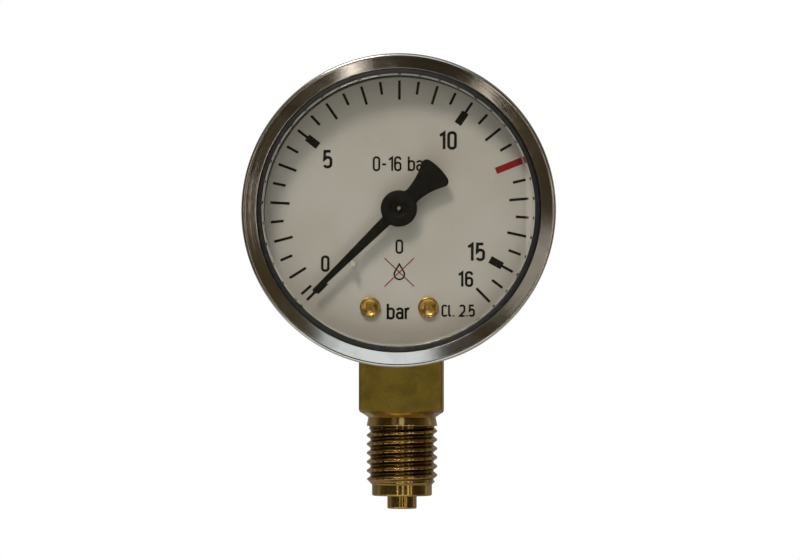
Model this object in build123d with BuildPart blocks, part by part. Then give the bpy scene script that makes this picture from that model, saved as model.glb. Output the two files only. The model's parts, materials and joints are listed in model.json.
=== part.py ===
from build123d import *
import os
from math import acos, atan2, cos, degrees, pi, radians, sin, tan

# Bourdon-tube pressure gauge, nominal size 50, with a lower mount.
# Millimetres. The origin is on the stem axis, at the shoulder where the shank begins.
# +Z points up, +X to the right as the dial is read, and the dial faces -Y.
# A "level" is a distance forward of the stem axis, so level 10 is the plane y = -10.

# ---------------------------------------------------------------- driving dimensions
case_axis = 34.15  # height of the case's axis
dial_axis = 34.55  # height of the pointer's axis
fit_gap = 0.02  # between pieces that are pressed or screwed together
run_gap = 0.03  # radial clearance of a turning pivot

# levels, from the back to the front
back_level = -10.0
back_inner_level = -9.4
block_front = 4.4
base_front = 5.2
sector_back, sector_front = 6.4, 7.2
link_back, link_front = 7.35, 7.85
front_plate_back, front_plate_front = 8.2, 9.0
hairspring_back, hairspring_front = 9.7, 10.2
dial_back, dial_front = 11.0, 11.4
seal_front = 13.28
pointer_back, pointer_front = 13.2, 13.5
window_inner, window_front = 16.0, 17.6

# case
case_radius = 25.45
case_wall = 0.6
back_corner = 2.5
bead_centre_radius = 25.2
bead_centre_level = 15.9
bead_radius = 0.75
plug_height = 44.65
plug_hole_radius = 4.0
plug_flange_width = 1.2
plug_flange_height = 0.9
plug_wall = 1.2
case_screw_spacing = 9.0
case_screw_height = 16.15
case_screw_radius = 1.25
case_screw_clearance = 0.15
case_screw_head = 2.1
case_screw_tip = -5.0  # level

# window and seal
window_radius = 24.35
window_skirt_inner = 23.1
window_crown_radius = 21.9  # where the nearly flat front turns into the shoulder
window_crown_drop = 0.2
window_shoulder_level = 15.1
window_lip_width = 0.4  # of the bayonet lip under the bead
window_lip_back, window_lip_front = 14.4, 14.7
window_inner_corner = 1.3
seal_inner, seal_outer = 22.4, 24.3

# stem
square_side = 14.0
square_opening = 14.3
square_bottom = 0.75
square_top = 11.55
corner_cone_rise = 0.19  # the underside's slope, where it turns the square's corners off
shank_radius = 6.0
relief_radius = 5.55
relief_top, relief_bottom = -1.55, -1.85
thread_pitch = 1.5
thread_depth = 0.86
thread_first_groove = -3.5
thread_grooves = 5
groove_half_mouth = 0.62
groove_half_root = 0.12
thread_end = -10.55
pilot_top = -11.5
pilot_radius = 5.1
sealing_face = -13.35
spigot_end = -15.55
spigot_radius = 2.5
bore_radius = 1.25
restrictor_radius = 1.5
restrictor_top = -11.25
orifice_radius = 0.25
block_top = 22.55
block_width = 14.0
block_bottom = 12.55
foot_width = 18.0
foot_depth = 7.2
foot_top = 13.55
socket_start = 237.0  # angle of the tube socket's open end

# Bourdon tube, bent round the case's axis
tube_bend = 15.5
tube_width = 8.0
tube_thickness = 2.2
tube_wall = 0.35
socket_gap = 0.03
tube_start = 268.0  # angle of the end inside the socket block
tube_end = -8.0
tip_length = 3.0
tip_gap = 0.05
tip_width = 3.4
tip_back = -4.2  # level

# movement
gear_module = 0.25
pinion_teeth = 10
sector_teeth = 90
pressure_angle = 25.0
sector_direction = -42.0  # from the pinion to the sector's axis
sector_swing = 30.0
tail_arm = 5.328
tail_angle = -40.26
link_length = 7.985
link_pin_radius = 0.4
link_pin_head = 0.8
link_end_radius = 0.95
link_open_hole = 0.55
arbor_radius = 0.5
arbor_shoulder = 1.0
arbor_front = 13.9
sector_hub = 2.3
sector_rim_inner = 9.3
spoke_half_root, spoke_half_end = 1.8, 0.7
arm_half_root = 1.6
pillar_radius = 1.5
pillar_foot_radius = 0.8
pillar_screw_radius = 0.6
pillar_screw_head = 1.3
movement_screw_radius = 1.0
movement_screw_head = 1.7
movement_screw_height = 14.05
movement_screw_depth = 5.6
post_radius = 1.7
post_foot_radius = 0.98
collet_radius = 1.38
stud_radius = 0.45
stud_foot_radius = 0.3
stud_distance, stud_angle = 4.75, 60.0  # from the pointer's axis
# how far the plates reach round each thing that they carry
plate_round_pinion = 3.2
plate_round_sector = 2.4
plate_round_pillar = 1.9
plate_round_stud = 1.2
plate_foot_width = 15.2
plate_foot_bottom = 12.35

# dial and pointer
dial_radius = 24.0
dial_hole = 2.2
fastener_spacing = 9.66
fastener_drop = 16.3
fastener_radius = 0.95
fastener_head = 1.72
stop_pin_angle = 230.6
stop_pin_distance = 11.9
stop_pin_radius = 0.55
stop_pin_front = 14.05
pointer_angle = 224.4
pointer_length = 19.8
pointer_hub = 3.0
pointer_bore = 0.95
pointer_half_root, pointer_half_tip = 0.9, 0.42
bushing_radius = 1.7
bushing_neck = 1.25
tail_length = 9.6
tail_spread = 18.6
tail_half_neck = 1.15
tail_half_waist = 1.72

# ---------------------------------------------------------------- shared helpers


def polar(centre, distance, angle):
    """A point in a plane of constant level, by its angle from +X towards +Z."""
    return (
        centre[0] + distance * cos(radians(angle)),
        centre[1] + distance * sin(radians(angle)),
    )


def level_plane(level):
    """The plane at a level, seen from the front: x is X and y is Z."""
    return Plane.XZ.offset(level)


def radial_plane(centre, angle=90.0):
    """A plane through an axis along Y: x is the distance from it and y is the level."""
    c, s = cos(radians(angle)), sin(radians(angle))
    return Plane(origin=(centre[0], 0, centre[1]), x_dir=(c, 0, s), z_dir=(s, 0, -c))


def turning_axis(centre):
    return Axis((centre[0], 0, centre[1]), (0, -1, 0))


def tooth_outline(teeth, addendum, dedendum):
    """One involute tooth centred on the +X axis, thinned for backlash."""
    pitch_radius = gear_module * teeth / 2
    base_radius = pitch_radius * cos(radians(pressure_angle))
    tip, root = pitch_radius + addendum, pitch_radius - dedendum
    half_thickness = 0.45 * pi / teeth

    def involute(radius):
        turn = acos(min(1.0, base_radius / radius))
        return tan(turn) - turn

    start = max(root, base_radius)
    radii = [root - 0.05] + [start + (tip - start) * k / 4 for k in range(5)]
    flank = []
    for radius in radii:
        angle = half_thickness + involute(pitch_radius) - involute(max(radius, base_radius))
        flank.append((radius * cos(angle), radius * sin(angle)))
    return [(x, -y) for x, y in flank] + flank[::-1]


case_centre = (0, case_axis)
dial_centre = (0, dial_axis)
gear_distance = gear_module * (pinion_teeth + sector_teeth) / 2
sector_centre = polar(dial_centre, gear_distance, sector_direction)
pinion_direction = sector_direction + 180
tail_point = polar(sector_centre, tail_arm, tail_angle)
tip_arc = degrees(tip_length / tube_bend)
tip_gap_angle = degrees(tip_gap / tube_bend)
tip_angle = tube_end - tip_gap_angle - tip_arc / 2
tip_point = polar(case_centre, tube_bend, tip_angle)
fastener_height = dial_axis - fastener_drop
fastener_points = [(side * fastener_spacing / 2, fastener_height) for side in (-1, 1)]
movement_screw_points = [(side * fastener_spacing / 2, movement_screw_height) for side in (-1, 1)]
case_screw_points = [(side * case_screw_spacing / 2, case_screw_height) for side in (-1, 1)]
pillar_points = [(-6.6, 32.75), (1.6, 21.35)]
stud_point = polar(dial_centre, stud_distance, stud_angle)
stop_pin_point = polar(dial_centre, stop_pin_distance, stop_pin_angle)
plug_centre = (0, plug_height)

# ---------------------------------------------------------------- case
with BuildPart() as case:
    with BuildSketch(radial_plane(case_centre)):
        with BuildLine():
            back = Line((0, back_level), (case_radius - back_corner, back_level))
            corner = TangentArc(
                back @ 1, (case_radius, back_level + back_corner), tangent=back % 1
            )
            wall = Line(corner @ 1, (case_radius, bead_centre_level))
            rim = Line(wall @ 1, (case_radius - case_wall, bead_centre_level))
            inner_wall = Line(rim @ 1, (case_radius - case_wall, back_level + back_corner))
            inner_corner = TangentArc(
                inner_wall @ 1,
                (case_radius - back_corner, back_inner_level),
                tangent=inner_wall % 1,
            )
            inner_back = Line(inner_corner @ 1, (0, back_inner_level))
            Line(inner_back @ 1, back @ 0)
        make_face()
        with Locations((bead_centre_radius, bead_centre_level)):
            Circle(bead_radius)
    revolve(axis=turning_axis(case_centre))
    # opening for the wrench square
    with Locations((0, 0, case_axis - case_radius)):
        Box(square_opening, square_opening, 8, mode=Mode.SUBTRACT)
    # holes in the back for the relief plug and the case screws
    with BuildSketch(level_plane(back_level - 1)):
        with Locations(plug_centre):
            Circle(plug_hole_radius)
        with Locations(*case_screw_points):
            Circle(case_screw_radius + case_screw_clearance)
    extrude(amount=2, mode=Mode.SUBTRACT)

# ---------------------------------------------------------------- relief plug
with BuildPart() as blowout_plug:
    with BuildSketch(radial_plane(plug_centre)):
        with BuildLine():
            Polyline(
                (0, back_level - plug_flange_height),
                (plug_hole_radius + plug_flange_width - 0.3, back_level - plug_flange_height),
                (plug_hole_radius + plug_flange_width, back_level - plug_flange_height + 0.3),
                (plug_hole_radius + plug_flange_width, back_level),
                (plug_hole_radius - fit_gap, back_level),
                (plug_hole_radius - fit_gap, back_inner_level),
                (plug_hole_radius + 0.5, back_inner_level),
                (plug_hole_radius - 0.3, back_inner_level + 1.0),
                (plug_hole_radius - plug_wall, back_inner_level + 1.0),
                (plug_hole_radius - plug_wall, back_level + 0.3),
                (0, back_level + 0.3),
                close=True,
            )
        make_face()
    revolve(axis=turning_axis(plug_centre))

# ---------------------------------------------------------------- window
with BuildPart() as window:
    with BuildSketch(radial_plane(case_centre)):
        with BuildLine():
            crown = ThreePointArc(
                (0, window_front),
                (window_crown_radius / 2, window_front - window_crown_drop / 4),
                (window_crown_radius, window_front - window_crown_drop),
            )
            shoulder = TangentArc(
                crown @ 1, (window_radius, window_shoulder_level), tangent=crown % 1
            )
            Polyline(
                shoulder @ 1,
                (window_radius, window_lip_front + 0.25),
                (window_radius + window_lip_width, window_lip_front),
                (window_radius + window_lip_width, window_lip_back),
                (window_radius, window_lip_back - 0.5),
                (window_radius, seal_front + fit_gap),
                (window_skirt_inner, seal_front + fit_gap),
                (window_skirt_inner, window_inner - window_inner_corner),
            )
            inner_corner = TangentArc(
                (window_skirt_inner, window_inner - window_inner_corner),
                (window_skirt_inner - window_inner_corner, window_inner),
                tangent=(0, 1),
            )
            Polyline(inner_corner @ 1, (0, window_inner), (0, window_front))
        make_face()
    revolve(axis=turning_axis(case_centre))

# ---------------------------------------------------------------- window seal
with BuildPart() as window_seal:
    with BuildSketch(radial_plane(case_centre)):
        seal_middle = (seal_inner + seal_outer) / 2
        with Locations((seal_middle, (dial_front + fit_gap + seal_front) / 2)):
            RectangleRounded(seal_outer - seal_inner, seal_front - dial_front - fit_gap, 0.2)
    revolve(axis=turning_axis(case_centre))

# ---------------------------------------------------------------- dial
with BuildPart() as dial:
    with BuildSketch(level_plane(dial_back)):
        with Locations(dial_centre):
            Circle(dial_radius)
            Circle(dial_hole, mode=Mode.SUBTRACT)
        with Locations(*fastener_points):
            Circle(fastener_radius + 0.1, mode=Mode.SUBTRACT)
        with Locations(stop_pin_point):
            Circle(stop_pin_radius - 0.1 + fit_gap, mode=Mode.SUBTRACT)
    extrude(amount=dial_front - dial_back)

# ---------------------------------------------------------------- dial screws
with BuildPart() as dial_screws:
    for point in fastener_points:
        with BuildSketch(radial_plane(point)):
            with BuildLine():
                Polyline(
                    (0, dial_front - 3.4),
                    (fastener_radius - fit_gap, dial_front - 3.4),
                    (fastener_radius - fit_gap, dial_front),
                    (fastener_head - 0.1, dial_front),
                    (fastener_head, dial_front + 0.12),
                    (fastener_head, dial_front + 0.5),
                    (fastener_head - 0.18, dial_front + 0.66),
                    (fastener_head - 0.42, dial_front + 0.66),
                    (0, dial_front + 0.12),
                    close=True,
                )
            make_face()
        revolve(axis=turning_axis(point))

# ---------------------------------------------------------------- dial posts
with BuildPart() as dial_posts:
    for point in fastener_points:
        with BuildSketch(radial_plane(point)):
            with BuildLine():
                Polyline(
                    (0, block_front + fit_gap),
                    (post_foot_radius, block_front + fit_gap),
                    (post_foot_radius, base_front),
                    (post_radius, base_front),
                    (post_radius, dial_back),
                    (fastener_radius, dial_back),
                    (fastener_radius, dial_back - 3.6),
                    (0, dial_back - 3.9),
                    close=True,
                )
            make_face()
        revolve(axis=turning_axis(point))

# ---------------------------------------------------------------- stop pin
with BuildPart() as stop_pin:
    with BuildSketch(radial_plane(stop_pin_point)):
        with BuildLine():
            Polyline(
                (0, dial_back - 0.4),
                (stop_pin_radius + 0.2, dial_back - 0.4),
                (stop_pin_radius + 0.2, dial_back),
                (stop_pin_radius - 0.1, dial_back),
                (stop_pin_radius - 0.1, dial_front),
                (stop_pin_radius, dial_front),
                (stop_pin_radius, stop_pin_front - 0.15),
                (stop_pin_radius - 0.15, stop_pin_front),
                (0, stop_pin_front),
                close=True,
            )
        make_face()
    revolve(axis=turning_axis(stop_pin_point))

# ---------------------------------------------------------------- pointer
arm_direction = (cos(radians(pointer_angle)), 0, sin(radians(pointer_angle)))
pointer_plane = Plane(
    origin=(0, -pointer_back, dial_axis), x_dir=arm_direction, z_dir=(0, -1, 0)
)
tail_corner_x = -tail_length * cos(radians(tail_spread)) + 0.3
tail_corner_y = tail_length * sin(radians(tail_spread)) - 0.1
tail_waist_x = -5.6
with BuildPart() as pointer:
    with BuildSketch(pointer_plane):
        Circle(pointer_hub)
        with BuildLine():
            Polyline(
                (0, -pointer_half_root),
                (pointer_length, -pointer_half_tip),
                (pointer_length, pointer_half_tip),
                (0, pointer_half_root),
                close=True,
            )
        make_face()
        with BuildLine():
            upper_side = ThreePointArc(
                (-pointer_hub / 2, tail_half_neck),
                (tail_waist_x, tail_half_waist),
                (tail_corner_x, tail_corner_y),
            )
            tail_edge = ThreePointArc(
                upper_side @ 1, (-tail_length, 0), (tail_corner_x, -tail_corner_y)
            )
            lower_side = ThreePointArc(
                tail_edge @ 1,
                (tail_waist_x, -tail_half_waist),
                (-pointer_hub / 2, -tail_half_neck),
            )
            Line(lower_side @ 1, upper_side @ 0)
        make_face()
        Circle(pointer_bore, mode=Mode.SUBTRACT)
    extrude(amount=pointer_front - pointer_back)
    far_edges = pointer.edges().filter_by(Axis.Y).sort_by(
        lambda edge: (edge.center() - pointer_plane.origin).dot(Vector(*arm_direction))
    )
    fillet(far_edges[:2], 0.5)

# ---------------------------------------------------------------- pointer bushing
with BuildPart() as pointer_bushing:
    with BuildSketch(radial_plane(dial_centre)):
        with BuildLine():
            Polyline(
                (arbor_radius + fit_gap, 12.0),
                (bushing_neck, 12.0),
                (bushing_neck, 12.6),
                (bushing_radius, 12.6),
                (bushing_radius, pointer_back - fit_gap),
                (pointer_bore - fit_gap, pointer_back - fit_gap),
                (pointer_bore - fit_gap, pointer_front - 0.1),
                (arbor_radius + 0.2, pointer_front),
                (arbor_radius + fit_gap, pointer_front),
                close=True,
            )
        make_face()
    revolve(axis=turning_axis(dial_centre))

# ---------------------------------------------------------------- pinion arbor
with BuildPart() as pinion_arbor:
    with BuildSketch(radial_plane(dial_centre)):
        with BuildLine():
            Polyline(
                (0, block_front + 0.1),
                (arbor_radius, block_front + 0.1),
                (arbor_radius, arbor_front - 0.4),
                (arbor_radius - 0.2, arbor_front),
                (0, arbor_front),
                close=True,
            )
        make_face()
    revolve(axis=turning_axis(dial_centre))
    with BuildSketch(level_plane(sector_back - 0.7)):
        with Locations(dial_centre):
            Circle(gear_module * (pinion_teeth / 2 - 1.1))
            with PolarLocations(0, pinion_teeth, start_angle=sector_direction):
                Polygon(
                    *tooth_outline(pinion_teeth, 0.9 * gear_module, 1.1 * gear_module), align=None
                )
    extrude(amount=sector_front - sector_back + 1.4)

# ---------------------------------------------------------------- hairspring and its ends
with BuildPart() as hairspring_collet:
    with BuildSketch(level_plane(hairspring_back - 0.2)):
        with Locations(dial_centre):
            Circle(collet_radius)
            Circle(arbor_radius + fit_gap, mode=Mode.SUBTRACT)
    extrude(amount=hairspring_front - hairspring_back + 0.4)

spring_inner_radius = 1.5
spring_half_pitch = 0.25
spring_half_turns = 12
spring_last_turn = 53.0
spring_thickness = 0.12
spring_plane = Plane(origin=(0, -hairspring_back, dial_axis), x_dir=(1, 0, 0), z_dir=(0, -1, 0))
with BuildPart() as hairspring:
    with BuildSketch(spring_plane):
        with BuildLine():
            for k in range(spring_half_turns):
                CenterArc(
                    (spring_half_pitch * (k % 2), 0),
                    spring_inner_radius + spring_half_pitch * k,
                    180 * (k % 2),
                    180,
                )
            outer_radius = spring_inner_radius + spring_half_pitch * spring_half_turns
            CenterArc((0, 0), outer_radius, 0, spring_last_turn)
        trace(line_width=spring_thickness)
    extrude(amount=hairspring_front - hairspring_back)

with BuildPart() as hairspring_stud:
    with BuildSketch(radial_plane(stud_point)):
        with BuildLine():
            Polyline(
                (0, front_plate_back),
                (stud_foot_radius, front_plate_back),
                (stud_foot_radius, front_plate_front),
                (stud_radius, front_plate_front),
                (stud_radius, hairspring_front + 0.2),
                (0, hairspring_front + 0.2),
                close=True,
            )
        make_face()
    revolve(axis=turning_axis(stud_point))

# ---------------------------------------------------------------- sector gear
tooth_step = 360 / sector_teeth
teeth_behind = int(sector_swing / tooth_step) + 2
rim_root = gear_module * (sector_teeth / 2 - 1.1)
rim_low = pinion_direction - tooth_step * (teeth_behind + 0.2)
rim_high = pinion_direction + tooth_step * 2.2
rim_middle = (rim_low + rim_high) / 2
with BuildPart() as sector_gear:
    with BuildSketch(level_plane(sector_back)):
        # toothed rim, cut from a ring by the two radii that bound it
        with Locations(sector_centre):
            Circle(rim_root)
            Circle(sector_rim_inner, mode=Mode.SUBTRACT)
        with BuildLine():
            Polyline(
                sector_centre,
                polar(sector_centre, 14, rim_low),
                polar(sector_centre, 16, rim_middle),
                polar(sector_centre, 14, rim_high),
                close=True,
            )
        make_face(mode=Mode.INTERSECT)
        for k in range(-teeth_behind, 2):
            with Locations(Location(sector_centre, pinion_direction + tooth_step * (k + 0.5))):
                Polygon(
                    *tooth_outline(sector_teeth, 0.8 * gear_module, 1.1 * gear_module), align=None
                )
        # two spokes, the hub and the tail arm
        for angle in (rim_low + 3, rim_high - 3):
            spoke_end = polar(sector_centre, sector_rim_inner + 0.5, angle)
            with BuildLine():
                Polyline(
                    polar(sector_centre, spoke_half_root, angle + 90),
                    polar(spoke_end, spoke_half_end, angle + 90),
                    polar(spoke_end, spoke_half_end, angle - 90),
                    polar(sector_centre, spoke_half_root, angle - 90),
                    close=True,
                )
            make_face()
        with Locations(sector_centre):
            Circle(sector_hub)
        with BuildLine():
            Polyline(
                polar(sector_centre, arm_half_root, tail_angle + 90),
                polar(tail_point, link_end_radius, tail_angle + 90),
                polar(tail_point, link_end_radius, tail_angle - 90),
                polar(sector_centre, arm_half_root, tail_angle - 90),
                close=True,
            )
        make_face()
        with Locations(tail_point):
            Circle(link_end_radius)
            Circle(link_pin_radius + fit_gap, mode=Mode.SUBTRACT)
        with Locations(sector_centre):
            Circle(arbor_shoulder + fit_gap, mode=Mode.SUBTRACT)
    extrude(amount=sector_front - sector_back)

with BuildPart() as sector_arbor:
    with BuildSketch(radial_plane(sector_centre)):
        with BuildLine():
            Polyline(
                (0, block_front + 0.1),
                (arbor_radius, block_front + 0.1),
                (arbor_radius, base_front + 0.1),
                (arbor_shoulder, base_front + 0.1),
                (arbor_shoulder, front_plate_back - 0.1),
                (arbor_radius, front_plate_back - 0.1),
                (arbor_radius, front_plate_front + 0.3),
                (0, front_plate_front + 0.3),
                close=True,
            )
        make_face()
    revolve(axis=turning_axis(sector_centre))

# ---------------------------------------------------------------- movement plates
with BuildPart() as back_plate:
    with BuildSketch(level_plane(block_front)):
        with Locations((0, (plate_foot_bottom + block_top) / 2)):
            Rectangle(plate_foot_width, block_top - plate_foot_bottom)
        with Locations(dial_centre):
            Circle(plate_round_pinion)
        with Locations(*pillar_points):
            Circle(plate_round_pillar)
        with Locations(sector_centre):
            Circle(plate_round_sector)
        make_hull()
        with Locations(dial_centre, sector_centre):
            Circle(arbor_radius + run_gap, mode=Mode.SUBTRACT)
        with Locations(*pillar_points):
            Circle(pillar_foot_radius + fit_gap, mode=Mode.SUBTRACT)
        with Locations(*fastener_points):
            Circle(post_foot_radius + fit_gap, mode=Mode.SUBTRACT)
        with Locations(*movement_screw_points):
            Circle(movement_screw_radius + 0.1, mode=Mode.SUBTRACT)
    extrude(amount=base_front - block_front)

with BuildPart() as front_plate:
    with BuildSketch(level_plane(front_plate_back)):
        with Locations(dial_centre):
            Circle(plate_round_pinion)
        with Locations(*pillar_points):
            Circle(plate_round_pillar)
        with Locations(sector_centre):
            Circle(plate_round_sector)
        with Locations(stud_point):
            Circle(plate_round_stud)
        make_hull()
        with Locations(dial_centre, sector_centre):
            Circle(arbor_radius + run_gap, mode=Mode.SUBTRACT)
        with Locations(*pillar_points):
            Circle(pillar_screw_radius + 0.08, mode=Mode.SUBTRACT)
        with Locations(stud_point):
            Circle(stud_foot_radius + fit_gap, mode=Mode.SUBTRACT)
    extrude(amount=front_plate_front - front_plate_back)

with BuildPart() as pillars:
    for point in pillar_points:
        with BuildSketch(radial_plane(point)):
            with BuildLine():
                Polyline(
                    (0, block_front + fit_gap),
                    (pillar_foot_radius, block_front + fit_gap),
                    (pillar_foot_radius, base_front),
                    (pillar_radius, base_front),
                    (pillar_radius, front_plate_back),
                    (pillar_screw_radius, front_plate_back),
                    (pillar_screw_radius, front_plate_back - 2.0),
                    (0, front_plate_back - 2.2),
                    close=True,
                )
            make_face()
        revolve(axis=turning_axis(point))

# ---------------------------------------------------------------- screws inside
with BuildPart() as pillar_screws:
    for point in pillar_points:
        with BuildSketch(level_plane(front_plate_front)):
            with Locations(point):
                Circle(pillar_screw_head)
        extrude(amount=0.6)
        with BuildSketch(level_plane(front_plate_back - 1.8)):
            with Locations(point):
                Circle(pillar_screw_radius - fit_gap)
        extrude(amount=front_plate_front - front_plate_back + 1.8)
        with BuildSketch(level_plane(front_plate_front + 0.35)):
            with Locations(point):
                Rectangle(3, 0.35, rotation=40)
        extrude(amount=1, mode=Mode.SUBTRACT)

with BuildPart() as movement_screws:
    for point in movement_screw_points:
        with BuildSketch(level_plane(base_front)):
            with Locations(point):
                Circle(movement_screw_head)
        extrude(amount=1.1)
        with BuildSketch(level_plane(block_front - movement_screw_depth + 0.4)):
            with Locations(point):
                Circle(movement_screw_radius - fit_gap)
        extrude(amount=movement_screw_depth + base_front - block_front - 0.4)
        with BuildSketch(level_plane(base_front + 0.6)):
            with Locations(point):
                Rectangle(4, 0.45, rotation=-25)
        extrude(amount=1, mode=Mode.SUBTRACT)

with BuildPart() as case_screws:
    for point in case_screw_points:
        with BuildSketch(radial_plane(point)):
            with BuildLine():
                Polyline(
                    (0, back_level - 1.3),
                    (1.5, back_level - 1.3),
                    (case_screw_head, back_level - 0.8),
                    (case_screw_head, back_level),
                    (case_screw_radius - fit_gap, back_level),
                    (case_screw_radius - fit_gap, case_screw_tip),
                    (0, case_screw_tip),
                    close=True,
                )
            make_face()
        revolve(axis=turning_axis(point))
        with BuildSketch(level_plane(back_level - 1.5)):
            with Locations(point):
                Rectangle(2.2, 0.5, rotation=35)
                Rectangle(2.2, 0.5, rotation=125)
        extrude(amount=0.9, mode=Mode.SUBTRACT)

# ---------------------------------------------------------------- Bourdon tube and its tip
with BuildPart() as bourdon_tube:
    with BuildSketch(radial_plane(case_centre, tube_end)):
        with Locations((tube_bend, 0)):
            SlotOverall(tube_width, tube_thickness, rotation=90)
            SlotOverall(
                tube_width - 2 * tube_wall,
                tube_thickness - 2 * tube_wall,
                rotation=90,
                mode=Mode.SUBTRACT,
            )
    revolve(axis=turning_axis(case_centre), revolution_arc=tube_start - tube_end)

with BuildPart() as tube_tip:
    with BuildSketch(radial_plane(case_centre, tube_end - tip_gap_angle - tip_arc)):
        with Locations((tube_bend, (sector_front + tip_back) / 2)):
            Rectangle(tip_width, sector_front - tip_back)
    revolve(axis=turning_axis(case_centre), revolution_arc=tip_arc)
    with BuildSketch(level_plane(sector_front - 2.2)):
        with Locations(tip_point):
            Circle(link_pin_radius + fit_gap)
    extrude(amount=3, mode=Mode.SUBTRACT)

# ---------------------------------------------------------------- link and its pins
link_direction = degrees(atan2(tail_point[1] - tip_point[1], tail_point[0] - tip_point[0]))
link_foot = polar(tip_point, link_length, link_direction)
with BuildPart() as link:
    with BuildSketch(level_plane(link_back)):
        with Locations(tip_point, link_foot):
            Circle(link_end_radius)
        make_hull()
        with Locations(tip_point):
            Circle(link_pin_radius + run_gap, mode=Mode.SUBTRACT)
        with Locations(link_foot):
            Circle(link_open_hole, mode=Mode.SUBTRACT)
    extrude(amount=link_front - link_back)


def link_pin(point, foot_level):
    """A headed pin whose head stands clear of the link's front."""
    with BuildPart() as pin:
        with BuildSketch(radial_plane(point)):
            with BuildLine():
                Polyline(
                    (0, foot_level),
                    (link_pin_radius, foot_level),
                    (link_pin_radius, link_front + 0.05),
                    (link_pin_head, link_front + 0.05),
                    (link_pin_head, link_front + 0.3),
                    (0, link_front + 0.3),
                    close=True,
                )
            make_face()
        revolve(axis=turning_axis(point))
    return pin


link_pin_upper = link_pin(tip_point, sector_front - 2.0)
link_pin_lower = link_pin(tail_point, sector_back)

# ---------------------------------------------------------------- restrictor screw
with BuildPart() as restrictor:
    with BuildSketch(Plane.XY.offset(spigot_end + 0.3)):
        Circle(restrictor_radius - fit_gap)
        Circle(orifice_radius, mode=Mode.SUBTRACT)
    extrude(amount=restrictor_top - spigot_end - 0.4)
    with BuildSketch(Plane.XY.offset(spigot_end)):
        Rectangle(4, 0.5)
    extrude(amount=0.8, mode=Mode.SUBTRACT)

# ---------------------------------------------------------------- stem
with BuildPart() as stem:
    # turned shank, pilot and spigot
    with BuildSketch(Plane.XZ):
        with BuildLine():
            Polyline(
                (0, square_bottom),
                (square_side / 2, square_bottom),
                (shank_radius, 0),
                (shank_radius, relief_top + 0.2),
                (shank_radius - 0.2, relief_top),
                (relief_radius, relief_top),
                (relief_radius, relief_bottom),
                (shank_radius - 0.3, relief_bottom),
                (shank_radius, relief_bottom - 0.3),
                (shank_radius, thread_end),
                (pilot_radius, pilot_top),
                (pilot_radius, sealing_face + 0.3),
                (pilot_radius - 0.3, sealing_face),
                (spigot_radius, sealing_face),
                (spigot_radius, spigot_end + 0.3),
                (spigot_radius - 0.3, spigot_end),
                (0, spigot_end),
                close=True,
            )
        make_face()
        # thread grooves, as rings
        for k in range(thread_grooves):
            middle = thread_first_groove - thread_pitch * k
            with BuildLine():
                Polyline(
                    (shank_radius + 0.05, middle + groove_half_mouth),
                    (shank_radius - thread_depth, middle + groove_half_root),
                    (shank_radius - thread_depth, middle - groove_half_root),
                    (shank_radius + 0.05, middle - groove_half_mouth),
                    close=True,
                )
            make_face(mode=Mode.SUBTRACT)
    revolve(axis=Axis.Z)
    # wrench square, its lower corners turned off by a shallow cone
    with BuildSketch(Plane.XY.offset(square_bottom)):
        Rectangle(square_side, square_side)
    extrude(amount=square_top - square_bottom)
    cone_start = square_side / 2
    cone_end = 0.75 * square_side
    with BuildSketch(Plane.XZ):
        with BuildLine():
            Polyline(
                (cone_start, square_bottom),
                (cone_end, square_bottom + corner_cone_rise * (cone_end - cone_start)),
                (cone_end, square_bottom - 0.1),
                (cone_start, square_bottom - 0.1),
                close=True,
            )
        make_face()
    revolve(axis=Axis.Z, mode=Mode.SUBTRACT)
    # socket block inside the case: it reaches the case's back
    with BuildSketch(level_plane(back_inner_level)):
        with Locations((0, (block_bottom + block_top) / 2)):
            Rectangle(block_width, block_top - block_bottom)
    extrude(amount=block_front - back_inner_level)
    # its foot is shaped to the case's wall
    with BuildSketch(level_plane(-foot_depth)):
        with Locations((0, foot_top / 2)):
            Rectangle(foot_width, foot_top)
        with Locations(case_centre):
            Circle(case_radius - case_wall - 0.05, mode=Mode.INTERSECT)
    extrude(amount=block_front + foot_depth)
    # pressure bore and the restrictor's thread
    bore_top = case_axis - tube_bend
    with BuildSketch(Plane.XY.offset(spigot_end)):
        Circle(bore_radius)
    extrude(amount=bore_top - spigot_end, mode=Mode.SUBTRACT)
    with BuildSketch(Plane.XY.offset(spigot_end)):
        Circle(restrictor_radius)
    extrude(amount=restrictor_top - spigot_end, mode=Mode.SUBTRACT)
    # socket for the tube, on the tube's own curve
    with BuildSketch(radial_plane(case_centre, socket_start)):
        with Locations((tube_bend, 0)):
            SlotOverall(tube_width + 2 * socket_gap, tube_thickness + 2 * socket_gap, rotation=90)
    socket_arc = tube_start + 7 - socket_start
    revolve(axis=turning_axis(case_centre), revolution_arc=socket_arc, mode=Mode.SUBTRACT)
    # threads for the movement screws and the case screws
    with BuildSketch(level_plane(block_front)):
        with Locations(*movement_screw_points):
            Circle(movement_screw_radius)
    extrude(amount=-movement_screw_depth, mode=Mode.SUBTRACT)
    with BuildSketch(level_plane(back_inner_level)):
        with Locations(*case_screw_points):
            Circle(case_screw_radius)
    extrude(amount=case_screw_tip - back_inner_level + 0.3, mode=Mode.SUBTRACT)

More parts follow.
